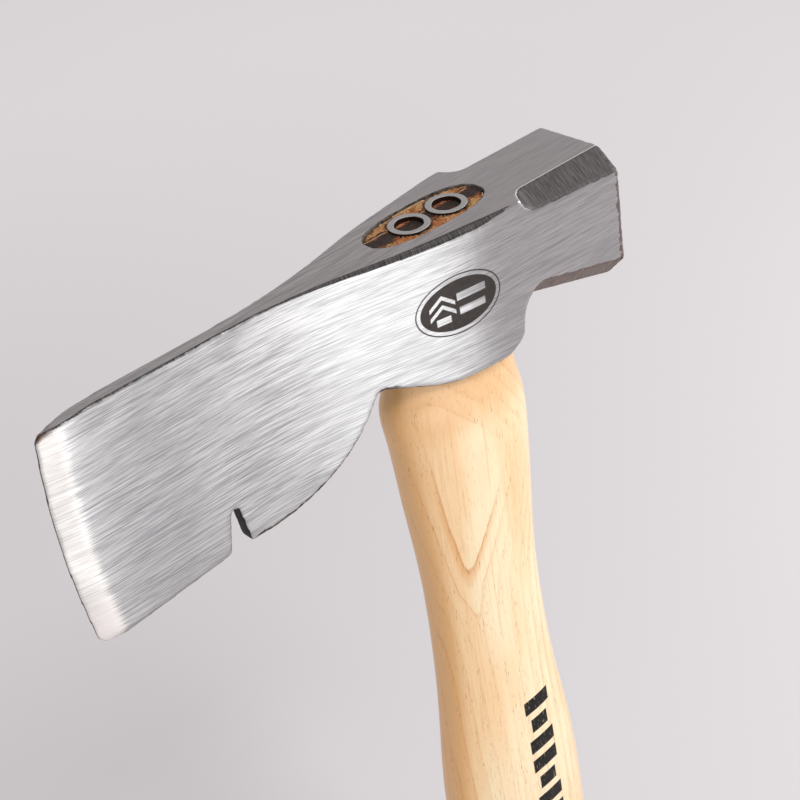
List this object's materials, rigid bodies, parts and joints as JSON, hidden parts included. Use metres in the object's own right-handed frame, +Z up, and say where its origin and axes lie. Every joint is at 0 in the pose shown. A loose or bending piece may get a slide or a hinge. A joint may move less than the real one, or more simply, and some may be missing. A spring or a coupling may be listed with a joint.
{
  "type": "roofing hatchet",
  "caption": "Roofing hatchet: forged steel head with a square hammer poll, a thin blade with a nail notch, and a wedged hickory handle.",
  "frame": {"origin": "midway between the two round steel wedges, on the flat top of the head", "axes": "+X runs along the head to the striking face, -X to the cutting edge, +Z up out of the eye, -Z down the handle; Y is across the thickness of the head"},
  "size_m": [0.159, 0.0314, 0.343],
  "materials": {
    "head_steel": "ground and brushed along the head, darker on the ground corner flats",
    "hickory": "pale hickory under a thin satin lacquer",
    "wedge_wood": "dark stained end grain",
    "wedge_steel": "driven and ground flush"
  },
  "bodies": {
    "root": {"head": "head_steel", "handle": "hickory", "wood_wedge": "wedge_wood", "ring_wedge_poll": "wedge_steel", "ring_wedge_blade": "wedge_steel"}
  },
  "joints": []
}
